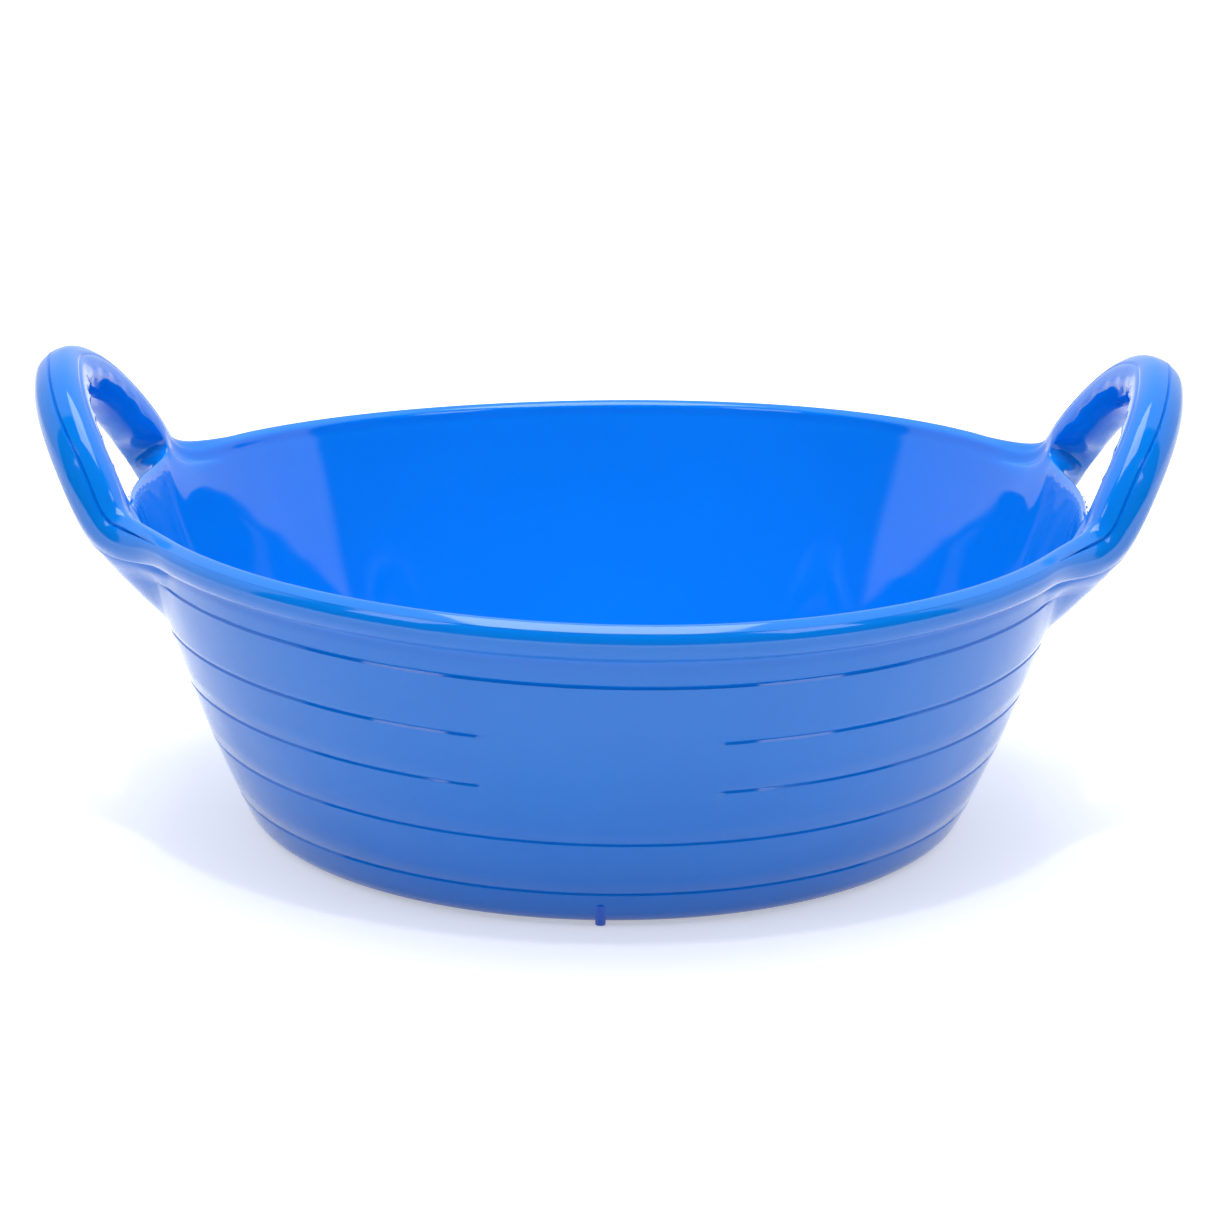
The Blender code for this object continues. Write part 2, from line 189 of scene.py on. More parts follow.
def inner_radius(height):
    s = sizes()
    share = height / s.rim_height
    swell = 4 * s.wall_swell * share * (1 - share)
    return wall_radius(height) - s.wall_thickness / cos(atan(wall_slope(height))) - swell


def lip_middle():
    """Radius of the middle of the flared edge in a hand hole."""
    return mix(wall_radius(LIP_FOOT), inner_radius(LIP_FOOT), 0.5) + sizes().lip_flare


def corner_arc(radius, floor_height, inset):
    """Points (radius, height) round a corner, from the wall down to the floor."""
    lean = atan(wall_slope(0.0))
    reach = radius * (1 - sin(lean)) / cos(lean)
    foot = sizes().foot_radius - inset / cos(lean) + wall_slope(0.0) * floor_height
    centre = foot - reach
    turns = [
        -lean - (pi / 2 - lean) * step / CORNER_STEPS for step in range(CORNER_STEPS + 1)
    ]
    return [(centre + radius * cos(t), floor_height + radius + radius * sin(t)) for t in turns]


def relaxed(place):
    """Where a point of the true shape lies as the soft tub stands."""
    s = sizes()
    x, y, z = place
    share = min(max(z / s.rim_height, 0.0), 1.0)
    reach = max(x * x + y * y, s.foot_radius ** 2)
    lift = (s.rim_saddle * (x * x - y * y) + s.rim_twist * 2 * x * y) / reach
    return Vector((x, y, z + share * (2 - share) * lift))


# Rows of the cage, from the second ring up the outside, over the rim and down the inside

# Each row of the wall: its height, the half ring widths that it lies above it, and its cut
WALL_ROWS = (
    (RING_HEIGHTS[1], 0, 1.0),
    (RING_HEIGHTS[1], 1, 0.0),
    (102.0 * MM, 0, 0.0),
    (110.5 * MM, 0, 0.0),
    (RING_HEIGHTS[0], -1, 0.0),
    (RING_HEIGHTS[0], 0, 1.0),
    (RING_HEIGHTS[0], 1, 0.0),
    (123.5 * MM, 0, 0.0),
    (127.5 * MM, 0, 0.0),
    (131.0 * MM, 0, 0.0),
)
SHARP_ROWS = (0, 1, 4, 5, 6)
OUTER_EDGE = len(WALL_ROWS)
FIRST_TUBE = OUTER_EDGE + 1

# Each row of the rolled rim: its turn and reach there, then its turn and stand (in mm) on a handle,
# where a raised band lies between two scored lines
TUBE_ROWS = (
    (-35, 1.0, -50, 0.0),
    (-8, 1.0, -12, 0.0),
    (11, 1.0, 22, 0.0),
    (25, 1.0, 58, 0.0),
    (34, 1.0, 90.5, 0.0),
    (39, 1.0, 95.0, -1.0),
    (44, 1.0, 99.5, 0.3),
    (73, 1.0, 128, 1.1),
    (85.8, 0.933, 157, 0.3),
    (101.1, 0.79, 162, -0.25),
    (117.0, 0.617, 167, -0.1),
    (159.7, 0.384, 205, 0.0),
)
LINES = (5, 9)
LAST_TUBE = FIRST_TUBE + len(TUBE_ROWS) - 1
INNER_EDGE = LAST_TUBE + 1
INNER_ROWS = (131.0 * MM, 119.0 * MM, 106.0 * MM, RING_HEIGHTS[1])
ROWS = INNER_EDGE + 1 + len(INNER_ROWS)

# Columns of a handle's half, from its middle to where the plain rim begins, in degrees: inside,
# and on the wall. Between LEAN_TOP and the second ring the wall's columns lean back by as much as
# WEB_FOOT_TURNS says.
COLUMN_TURNS = (0.0, 2.4, 4.8, 7.2, 10.2, 13.0, 15.8, 20.6, 24.0, 27.0, 30.0)
WALL_TURNS = (0.0, 2.4, 4.8, 7.2, 10.0, 12.7, 15.4, 19.4, 23.5, 27.0, 30.0)
WEB_FOOT_TURNS = (0, 0.5, 1.2, 2.2, 3.2, 4.3, 5.8, 8.2, 8.4, 9.0, 7.0, 5.0, 3.5, 2.0, 1.0)
LEAN_TOP = 128 * MM

# Share of the web's stand in each column, with more of it in its edge column near the rim
WEB_SHARES = (0.0, 0.0, 0.0, 0.0, 0.05, 0.34, 0.85, 1.0, 0.13, 0.0, 0.0)
WEB_CLIMB = 1.1
WEB_FADE = 6 * MM
EDGE_GAIN = 0.42
EDGE_FOOT = 119 * MM
EDGE_RUN = 12 * MM

# Columns between which the web folds off the wall, and between which the inside is hollowed
FOLD = (8, 9)
INNER_FOLD = (3, 6)
INNER_RECESSES = (0.9 * MM, 0.9 * MM, 0.7 * MM, 0.0)

# How far the web clasps the handle's lowest two rows, in degrees, and the share of the handle's
# lines and raised band that shows in each column
WEB_CLASPS = ((0, 0, 0, 0, 0, 0, 20, 19, 9, 0, 0), (0, 0, 0, 0, 0, 0, 6, 6, 3, 0, 0))
LINE_SHARES = (1, 1, 1, 1, 1, 1, 1, 1, 1, 0.75, 0)

# Numbers of columns over which the rim swells, turns its rows and leans its section into a handle
SWELL_COLUMNS = 4.6
TURN_COLUMNS = 5.6
LEAN_COLUMNS = 7

# Middle line of a handle's limb: how it leaves its foot, how it comes to its crown, where the
# rim's own line joins it, and how long and how tight that joint is
FOOT_PULL = (14.3 * MM, -12.4 * MM, 27.0 * MM)
CROWN_PULL = (-3.5 * MM, 46.0 * MM, -2.4 * MM)
JOINT_SHARE = 0.12
JOINT_REACH = 0.4
JOINT_EASE = 0.9
JOINT_POINTS = 40
LIMB_POINTS = 60
SLOPE_STEP = 0.01
ROUNDING_ERROR = 1e-9

# Outer and inner edge of the wall beside a hand hole, by column: radius and height. The lip's
# own columns are given as moves from it.
LIP_COLUMNS = 4
OUTER_LIP_MOVES = {4: (0.6 * MM, 0.2 * MM), 5: (3.4 * MM, 0.4 * MM)}
OUTER_EDGE_SPOTS = {9: (216.2 * MM, 132.3 * MM)}
INNER_LIP_MOVES = {4: (0.0, 0.1 * MM), 5: (0.9 * MM, 0.8 * MM)}
INNER_EDGE_SPOTS = {
    6: (213.2 * MM, 145.0 * MM),
    7: (211.0 * MM, 140.0 * MM),
    8: (209.6 * MM, 138.4 * MM),
    9: (208.9 * MM, 137.3 * MM),
}
LIP_TOP_MOVES = {4: (0.4 * MM, 0.3 * MM), 5: (1.8 * MM, 1.0 * MM), 6: (6.0 * MM, 1.8 * MM)}
PLAIN_OUTER_EDGE = (2.8 * MM, -6.95 * MM)
PLAIN_INNER_EDGE = 137 * MM

# Underside of a handle: its turn and reach along the hole, and where the hole ends
UNDERSIDE = (radians(257.0), 0.96)
HOLE_END = (radians(215.0), 0.55)


def column_turn(column, height):
    """Angle of a column from a handle's middle; beside a web the columns slant with it."""
    turn = WALL_TURNS[column] if column <= ZONE else 360 * column / COLUMNS
    if column < len(WEB_FOOT_TURNS):
        share = (LEAN_TOP - height) / (LEAN_TOP - RING_HEIGHTS[1])
        turn -= WEB_FOOT_TURNS[column] * min(max(share, 0.0), 1.0)
    return radians(turn)


def web_stand(column, height):
    """How far the web stands out of the wall at a column."""
    s = sizes()
    if column > ZONE:
        return 0.0
    foot = s.rim_height - s.web_drop
    climb = max((height - foot) / s.web_drop, 0.0)
    stand = s.web_stand * climb ** WEB_CLIMB
    share = WEB_SHARES[column]
    if column == FOLD[0]:
        share += EDGE_GAIN * min(max((height - EDGE_FOOT) / EDGE_RUN, 0.0), 1.0)
    return stand * share * smooth((height - RING_HEIGHTS[1]) / WEB_FADE)


def polar(turn, radius, height):
    return Vector((radius * cos(turn), radius * sin(turn), height))


def bezier(points, share):
    """Point at a share of the way along a cubic curve through its four control points."""
    rest = 1 - share
    weights = (rest ** 3, 3 * rest ** 2 * share, 3 * rest * share ** 2, share ** 3)
    return sum((weight * point for weight, point in zip(weights, points)), Vector())


def handle_line():
    """Closely spaced points from the plain rim up one limb of a handle to its crown."""
    s = sizes()
    foot_radius = s.rim_radius + s.grip_foot_stand
    half = s.grip_spread / 2
    foot = Vector((sqrt(foot_radius ** 2 - half ** 2), half, s.rim_height - s.grip_foot_drop))
    crown = Vector((s.rim_radius + s.grip_overhang, 0, s.rim_height + s.grip_arch))
    limb = (
        foot,
        foot + Vector(FOOT_PULL),
        crown + Vector(CROWN_PULL),
        crown,
    )
    joint = bezier(limb, JOINT_SHARE)
    before = bezier(limb, JOINT_SHARE - SLOPE_STEP)
    run = (bezier(limb, JOINT_SHARE + SLOPE_STEP) - before).normalized()
    turn = radians(COLUMN_TURNS[ZONE])
    start = polar(turn, s.rim_radius, s.rim_height)
    along = Vector((sin(turn), -cos(turn), 0))
    pull = (joint - start).length * JOINT_REACH
    bend = (start, start + along * pull, joint - run * pull * JOINT_EASE, joint)
    points = [bezier(bend, i / JOINT_POINTS) for i in range(JOINT_POINTS)]
    for i in range(LIMB_POINTS + 1):
        points.append(bezier(limb, mix(JOINT_SHARE, 1.0, i / LIMB_POINTS)))
    return points


def handle_frames():
    """Middle, outward and upward directions of a handle's section at each column, crown first."""
    s = sizes()
    points = handle_line()
    runs = [0.0]
    for first, last in zip(points, points[1:]):
        runs.append(runs[-1] + (last - first).length)
    lean = Vector((s.grip_arch, 0, -s.grip_overhang)).normalized()
    turn = radians(COLUMN_TURNS[ZONE])
    rim_out = Vector((cos(turn), sin(turn), 0))
    frames = []
    for column in range(ZONE + 1):
        goal = runs[-1] * (ZONE - column) / ZONE
        i = max(j for j in range(len(runs) - 1) if runs[j] <= goal + ROUNDING_ERROR)
        share = (goal - runs[i]) / (runs[i + 1] - runs[i])
        middle = points[i].lerp(points[i + 1], share)
        along = (points[i + 1] - points[i]).normalized()
        if column == ZONE:
            along = Vector((sin(turn), -cos(turn), 0))
        if column == 0:
            along = Vector((0, -1, 0))
        out = rim_out.lerp(lean, smooth((ZONE - column) / LEAN_COLUMNS))
        out = (out - out.dot(along) * along).normalized()
        frames.append((middle, out, along.cross(out)))
    return frames


def tube_place(frames, column, ring):
    """Point on the rolled rim, or on the handle that it swells into."""
    s = sizes()
    bead_turn, bead_reach, grip_turn, stand = TUBE_ROWS[ring]
    grown = smooth((ZONE - column) / SWELL_COLUMNS)
    turn = mix(bead_turn, grip_turn, smooth((ZONE - column) / TURN_COLUMNS))
    reach = mix(s.bead_radius * bead_reach, s.grip_radius, grown)
    if column < ZONE:
        reach += stand * MM * LINE_SHARES[column]
        if ring < len(WEB_CLASPS):
            turn += WEB_CLASPS[ring][column]
    turn = radians(turn)
    if column >= ZONE:
        azimuth = column_turn(column, s.rim_height)
        middle = polar(azimuth, s.rim_radius, s.rim_height)
        out = Vector((cos(azimuth), sin(azimuth), 0))
        up = Vector((0, 0, 1))
    else:
        middle, out, up = frames[column]
    return middle + (out * cos(turn) + up * sin(turn)) * reach


def outer_edge_place(frames, column):
    """Point where the wall meets the rolled rim, or outer edge of a hand hole's lip."""
    s = sizes()
    if HOLE <= column < FOLD[1]:
        web = cage_place(frames, OUTER_EDGE - 1, column)
        return web.lerp(tube_place(frames, column, 0), 0.5)
    if column < LIP_COLUMNS or column in OUTER_LIP_MOVES:
        out, up = OUTER_LIP_MOVES.get(column, (0.0, 0.0))
        radius = lip_middle() + s.lip_thickness / 2 + out
        height = s.rim_height + s.lip_rise - s.lip_thickness / 2 + up
    else:
        out, up = PLAIN_OUTER_EDGE
        plain = (s.rim_radius + out, s.rim_height + up)
        radius, height = OUTER_EDGE_SPOTS.get(column, plain)
    return polar(column_turn(column, s.rim_height), radius, height)


def inner_edge_place(column):
    """Point where the rolled rim meets the inside of the wall, or inner edge of the lip."""
    s = sizes()
    if column < LIP_COLUMNS or column in INNER_LIP_MOVES:
        out, up = INNER_LIP_MOVES.get(column, (0.0, 0.0))
        radius = lip_middle() - s.lip_thickness / 2 + out
        height = s.rim_height + s.lip_rise - s.lip_thickness / 2 + up
    else:
        plain = (inner_radius(PLAIN_INNER_EDGE), PLAIN_INNER_EDGE)
        radius, height = INNER_EDGE_SPOTS.get(column, plain)
    return polar(column_turn(column, s.rim_height), radius, height)


def cage_place(frames, row, column):
    """Place of one point of the cage, in the quarter where x and y are positive."""
    if row < OUTER_EDGE:
        height, side, depth = WALL_ROWS[row]
        height += side * sizes().ring_half_width
        cut = depth * sizes().ring_depth if column >= ZONE - 1 else 0.0
        radius = wall_radius(height) - cut + web_stand(column, height)
        return polar(column_turn(column, height), radius, height)
    if row == OUTER_EDGE:
        return outer_edge_place(frames, column)
    if row <= LAST_TUBE:
        return tube_place(frames, column, row - FIRST_TUBE)
    if row == INNER_EDGE:
        return inner_edge_place(column)
    height = INNER_ROWS[row - INNER_EDGE - 1]
    turn = radians(COLUMN_TURNS[column] if column <= ZONE else 360 * column / COLUMNS)
    inside = INNER_FOLD[0] < column < INNER_FOLD[1]
    recess = INNER_RECESSES[row - INNER_EDGE - 1] if inside else 0.0
    return polar(turn, inner_radius(height) + recess, height)


def folded(column):
    """Column of the first quarter that a column mirrors, with the signs of its x and y."""
    half = COLUMNS // 2
    side_y = 1 if column <= half else -1
    column = column if column <= half else COLUMNS - column
    side_x = 1 if column <= half // 2 else -1
    column = column if column <= half // 2 else half - column
    return column, side_x, side_y


def hole_column(column):
    return folded(column)[0] <= HOLE


# Modelling helpers

def deselect():
    """Leaves nothing selected."""
    for item in bpy.context.selected_objects:
        item.select_set(False)


def activate(item):
    """Selects one object alone and makes it the active one."""
    deselect()
    item.select_set(True)
    bpy.context.view_layer.objects.active = item


def edit_selection(item, mode, chosen):
    """Goes into edit mode with only the chosen edges or faces selected."""
    activate(item)
    bpy.ops.object.mode_set(mode="EDIT")
    bpy.ops.mesh.select_mode(type=mode)
    bpy.ops.mesh.select_all(action="DESELECT")
    shape = bmesh.from_edit_mesh(item.data)
    for part in shape.edges if mode == "EDGE" else shape.faces:
        if chosen(part):
            part.select_set(True)
    bmesh.update_edit_mesh(item.data)


def object_mode():
    bpy.ops.object.mode_set(mode="OBJECT")


def new_band():
    """A band of COLUMNS by ROWS points, still a plain cylinder, and each point's row and column."""
    deselect()
    bpy.ops.mesh.primitive_cylinder_add(
        vertices=COLUMNS, radius=sizes().rim_radius, depth=BAND_DEPTH, end_fill_type="NOTHING"
    )
    band = bpy.context.object
    band.name = "tub"
    edit_selection(band, "EDGE", lambda edge: edge.verts[0].co.z * edge.verts[1].co.z < 0)
    bpy.ops.mesh.subdivide(number_cuts=ROWS - 2)
    object_mode()
    tags = {}
    for vertex in band.data.vertices:
        column = round(atan2(vertex.co.y, vertex.co.x) / (2 * pi) * COLUMNS) % COLUMNS
        row = round((vertex.co.z / BAND_DEPTH + 0.5) * (ROWS - 1))
        tags[vertex.index] = (row, column)
    return band, tags


def make_cage():
    """The rim, the handles and the upper wall as one coarse cage.

    The band is cut open at each hand hole, between the wall and the rolled rim, outside and
    inside, and the two mouths are bridged.
    """
    band, tags = new_band()
    frames = handle_frames()
    goals = {}
    for index, (row, column) in tags.items():
        first, side_x, side_y = folded(column)
        place = cage_place(frames, row, first)
        goals[index] = Vector((side_x * place.x, side_y * place.y, place.z))

    mouths = ({OUTER_EDGE, FIRST_TUBE}, {LAST_TUBE, INNER_EDGE})

    def in_hole(face):
        spots = [tags[vertex.index] for vertex in face.verts]
        rows = {row for row, column in spots}
        return rows in mouths and all(hole_column(column) for row, column in spots)

    edit_selection(band, "FACE", in_hole)
    bpy.ops.mesh.delete(type="ONLY_FACE")
    object_mode()
    for right in (True, False):
        def on_mouth(edge, right=right):
            spots = [tags.get(vertex.index) for vertex in edge.verts]
            if None in spots or not edge.is_boundary:
                return False
            rows = {row for row, column in spots}
            near = all(
                hole_column(column) and (folded(column)[1] > 0) == right for row, column in spots
            )
            return near and 0 not in rows and ROWS - 1 not in rows

        edit_selection(band, "EDGE", on_mouth)
        bpy.ops.mesh.bridge_edge_loops(number_cuts=1, interpolation="LINEAR")
        object_mode()
    place_middles(band, tags, goals, frames)
    return band, tags, goals


def place_middles(band, tags, goals, frames):
    """Gives the points between the two mouths of a hand hole their places."""
    s = sizes()
    for edge in band.data.edges:
        old = [i for i in edge.vertices if i in tags]
        new = [i for i in edge.vertices if i not in tags]
        if len(new) != 1:
            continue
        row, column = tags[old[0]]
        first, side_x, side_y = folded(column)
        if row in (OUTER_EDGE, INNER_EDGE):
            out, up = LIP_TOP_MOVES.get(first, (0.0, 0.0))
            height = s.rim_height + s.lip_rise + up
            place = polar(column_turn(first, s.rim_height), lip_middle() + out, height)
        else:
            middle, out, up = frames[first]
            turn, reach = HOLE_END if first == HOLE else UNDERSIDE
            place = middle + (out * cos(turn) + up * sin(turn)) * s.grip_radius * reach
        goals[new[0]] = Vector((side_x * place.x, side_y * place.y, place.z))


def draw_through(item, goals):
    """Moves the cage so that its subdivided surface passes through the goals, and subdivides it.

    The points are moved in code, because each has its own goal and no transform gives them all.
    """
    for index, goal in goals.items():
        item.data.vertices[index].co = goal
    modifier = item.modifiers.new("round", "SUBSURF")
    modifier.levels = 1
    modifier.render_levels = 1
    for _ in range(DRAWING_ROUNDS):
        graph = bpy.context.evaluated_depsgraph_get()
        graph.update()
        reached = item.evaluated_get(graph).to_mesh()
        moves = {i: goal - reached.vertices[i].co for i, goal in goals.items()}
        item.evaluated_get(graph).to_mesh_clear()
        for index, move in moves.items():
            item.data.vertices[index].co += move
        item.data.update()
    modifier.levels = LEVELS
    modifier.render_levels = LEVELS
    activate(item)
    bpy.ops.object.modifier_apply(modifier=modifier.name)


def crease_rows(band, tags):
    """Keeps the scored rings and lines sharp, and the folds where a web leaves the wall."""

    def on_ring(edge):
        spots = [tags.get(vertex.index) for vertex in edge.verts]
        if None in spots:
            return False
        if spots[0][0] != spots[1][0]:
            return False
        near_line = any(abs(spots[0][0] - FIRST_TUBE - line) <= 1 for line in LINES)
        on_handle = max(folded(column)[0] for row, column in spots) < ZONE
        return spots[0][0] in SHARP_ROWS or (near_line and on_handle)

    edit_selection(band, "EDGE", on_ring)
    bpy.ops.transform.edge_crease(value=RING_CREASE)
    object_mode()

    def on_fold(edge):
        spots = [tags.get(vertex.index) for vertex in edge.verts]
        if None in spots:
            return False
        first = {folded(column)[0] for row, column in spots}
        on_web = first in ({FOLD[0]}, {FOLD[1]}) and max(row for row, column in spots) < OUTER_EDGE
        inside = min(row for row, column in spots) >= INNER_EDGE
        return on_web or (inside and first in ({INNER_FOLD[0]}, {INNER_FOLD[1]}))

    edit_selection(band, "EDGE", on_fold)
    bpy.ops.transform.edge_crease(value=FOLD_CREASE)
    object_mode()


def extrude_rings(item, start_height, outside, profile):
    """Carries one open edge of the mesh on through a profile of (radius, height) rings."""
    def on_edge(edge):
        if not edge.is_boundary:
            return False
        middle = (edge.verts[0].co + edge.verts[1].co) / 2
        radius = hypot(middle.x, middle.y)
        limit = (wall_radius(start_height) + inner_radius(start_height)) / 2
        return abs(middle.z - start_height) < NEAR and (radius > limit) == outside

    edit_selection(item, "EDGE", on_edge)
    for radius, height in profile:
        bpy.ops.mesh.extrude_region_move()
        shape = bmesh.from_edit_mesh(item.data)
        for vertex in shape.verts:
            if vertex.select:
                turn = atan2(vertex.co.y, vertex.co.x)
                vertex.co = polar(turn, radius(turn) if callable(radius) else radius, height)
        bmesh.update_edit_mesh(item.data)
    object_mode()


def ring_radius(ring, height):
    """Radius along the bottom of a ring, which fades out at the sides of the bare panel."""
    s = sizes()

    def at(turn):
        if ring not in PANEL_RINGS:
            return wall_radius(height) - s.ring_depth
        off = abs((turn - s.front + pi) % (2 * pi) - pi) * wall_radius(height)
        share = smooth((off - s.panel_width / 2) / PANEL_FADE + 0.5)
        return wall_radius(height) - s.ring_depth * share

    return at


def outer_profile():
    """Lower outside, from the second ring down under the floor to its middle."""
    s = sizes()
    half = s.ring_half_width
    profile = [(wall_radius(RING_HEIGHTS[1] - half), RING_HEIGHTS[1] - half)]
    for ring in range(2, len(RING_HEIGHTS)):
        above = RING_HEIGHTS[ring - 1] - half
        top = RING_HEIGHTS[ring] + half
        for share in (1 / 3, 2 / 3, 1.0):
            height = mix(above, top, share)
            profile.append((wall_radius(height), height))
        profile.append((ring_radius(ring, RING_HEIGHTS[ring]), RING_HEIGHTS[ring]))
        height = RING_HEIGHTS[ring] - half
        profile.append((wall_radius(height), height))
    profile += corner_arc(s.corner_radius, 0.0, 0.0)
    flat = profile[-1][0]
    profile += [(flat * share, 0.0) for share in FLOOR_SHARES]
    return profile


def inner_profile():
    """Inside, from the height of the second ring down to the middle of the floor."""
    s = sizes()
    corner = corner_arc(s.inner_corner_radius, s.floor_thickness, s.wall_thickness)
    heights = [mix(RING_HEIGHTS[1], corner[0][1], share) for share in (0.2, 0.4, 0.6, 0.8)]
    profile = [(inner_radius(height), height) for height in heights] + corner
    flat = profile[-1][0]
    profile += [(flat * share, s.floor_thickness) for share in FLOOR_SHARES]
    return profile


def ring_fade(item):
    """Ends the second ring at both sides of the bare panel too."""
    s = sizes()
    for vertex in item.data.vertices:
        x, y, z = vertex.co
        off = abs(z - RING_HEIGHTS[1]) / s.ring_half_width
        if off < 1 and hypot(x, y) > inner_radius(z) + MM:
            turn = atan2(y, x)
            cut = wall_radius(RING_HEIGHTS[1]) - ring_radius(1, RING_HEIGHTS[1])(turn)
            wanted = wall_radius(z) - cut * (1 - off)
            if wanted > hypot(x, y):
                vertex.co = polar(turn, wanted, z)


def close_poles(item):
    """Fills the two small round openings left in the middle of the floor."""
    edit_selection(item, "EDGE", lambda edge: edge.is_boundary)
    bpy.ops.mesh.edge_face_add()
    object_mode()


def finish_piece(item, material, nodes):
    """Lets a piece stand as the soft tub does, gives it its shading and finish, hangs it under the
    root body and hides the CAD nodes that it replaces.
    """
    for vertex in item.data.vertices:
        vertex.co = relaxed(vertex.co)
    edit_selection(item, "FACE", lambda face: True)
    bpy.ops.mesh.normals_make_consistent(inside=False)
    object_mode()
    activate(item)
    bpy.ops.object.shade_smooth_by_angle(angle=SHARP_TURN)
    item.data.materials.clear()
    item.data.materials.append(material)
    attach(item, "root")
    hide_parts(*nodes)


# Materials

def add_node(tree, kind, settings=(), links=()):
    """Adds a node, gives it its settings, and links sockets of other nodes into it."""
    node = tree.nodes.new(kind)
    for key, value in dict(settings).items():
        if isinstance(key, int) or key in node.inputs:
            node.inputs[key].default_value = value
        else:
            setattr(node, key, value)
    for socket, source in dict(links).items():
        tree.links.new(source, node.inputs[socket])
    return node


def polyethylene():
    """Low-density polyethylene, pigmented right through and injection moulded.

    A polished mould gives it its sharp gloss. The soft wall sets with a slow ripple, so straight
    reflections come back wavy; a fine bloom breaks the gloss, and the foot is rubbed dull.
    """
    material = bpy.data.materials.new("blue_polyethylene")
    material.use_nodes = True
    tree = material.node_tree
    shader = tree.nodes["Principled BSDF"]
    shader.inputs["IOR"].default_value = 1.51
    place = add_node(tree, "ShaderNodeTexCoord").outputs["Object"]

    # Pigment drifts a little over some 70 mm
    drift = add_node(
        tree,
        "ShaderNodeTexNoise",
        {"Scale": 1 / (70.0 * MM), "Detail": 2.0, "Roughness": 0.5},
        {"Vector": place},
    )
    blend = add_node(
        tree,
        "ShaderNodeMix",
        {"data_type": "RGBA", 6: linear(colours().blue), 7: linear(colours().deep_blue)},
        {0: drift.outputs["Fac"]},
    )
    tree.links.new(blend.outputs[2], shader.inputs["Base Color"])

    # Bloom in patches of about 18 mm, and the rubbed foot below 7 mm
    bloom = add_node(
        tree,
        "ShaderNodeTexNoise",
        {"Scale": 1 / (18.0 * MM), "Detail": 4.0, "Roughness": 0.5},
        {"Vector": place},
    )
    gloss = add_node(
        tree,
        "ShaderNodeMapRange",
        {"From Min": 0.3, "From Max": 0.7, "To Min": 0.04, "To Max": 0.09},
        {"Value": bloom.outputs["Fac"]},
    )
    parts = add_node(tree, "ShaderNodeSeparateXYZ", (), {0: place})
    rubbed = add_node(
        tree,
        "ShaderNodeMapRange",
        {"From Min": 7 * MM, "From Max": 1 * MM, "To Min": 0.0, "To Max": 0.22},
        {"Value": parts.outputs["Z"]},
    )
    rough = add_node(
        tree,
        "ShaderNodeMath",
        {"operation": "ADD"},
        {0: gloss.outputs["Result"], 1: rubbed.outputs["Result"]},
    )
    tree.links.new(rough.outputs[0], shader.inputs["Roughness"])

    # Ripple of about 40 mm, then a grain of 0.9 mm that is drawn coarser than the real one
    ripple = add_node(
        tree,
        "ShaderNodeTexNoise",
        {"Scale": 1 / (40.0 * MM), "Detail": 1.0, "Roughness": 0.5},
        {"Vector": place},
    )
    waves = add_node(
        tree,
        "ShaderNodeBump",
        {"Strength": 1.0, "Distance": 0.35 * MM},
        {"Height": ripple.outputs["Fac"]},
    )
    grain = add_node(
        tree,
        "ShaderNodeTexNoise",
        {"Scale": 1 / (0.9 * MM), "Detail": 2.0, "Roughness": 0.5},
        {"Vector": place},
    )
    skin = add_node(
        tree,
        "ShaderNodeBump",
        {"Strength": 1.0, "Distance": 0.003 * MM},
        {"Height": grain.outputs["Fac"], "Normal": waves.outputs["Normal"]},
    )
    tree.links.new(skin.outputs["Normal"], shader.inputs["Normal"])
    return material


def pale_floor():
    """Matt white studio paper: lit as it is near the tub, clean white to the camera further off."""
    material = bpy.data.materials.new("pale_floor")
    material.use_nodes = True
    tree = material.node_tree
    shader = tree.nodes["Principled BSDF"]
    shader.inputs["Base Color"].default_value = linear(colours().floor)
    shader.inputs["Roughness"].default_value = 1.0
    shader.inputs["Specular IOR Level"].default_value = 0.0
    shader.inputs["Emission Color"].default_value = (1, 1, 1, 1)
    place = add_node(tree, "ShaderNodeTexCoord")
    reach = add_node(
        tree, "ShaderNodeVectorMath", {"operation": "LENGTH"}, {0: place.outputs["Object"]}
    )
    away = add_node(
        tree,
        "ShaderNodeMapRange",
        {
            "interpolation_type": "SMOOTHSTEP",
            "From Min": 0.5,
            "From Max": 1.4,
            "To Min": 0.42,
            "To Max": 1.0,
        },
        {"Value": reach.outputs["Value"]},
    )
    path = add_node(tree, "ShaderNodeLightPath")
    seen = add_node(
        tree,
        "ShaderNodeMath",
        {"operation": "MAXIMUM"},
        {0: path.outputs["Is Camera Ray"], 1: path.outputs["Is Transmission Ray"]},
    )
    shown = add_node(
        tree,
        "ShaderNodeMath",
        {"operation": "MAXIMUM"},
        {0: seen.outputs[0], 1: path.outputs["Is Glossy Ray"]},
    )
    glow = add_node(
        tree,
        "ShaderNodeMath",
        {"operation": "MULTIPLY"},
        {0: shown.outputs[0], 1: away.outputs["Result"]},
    )
    tree.links.new(glow.outputs[0], shader.inputs["Emission Strength"])
    return material


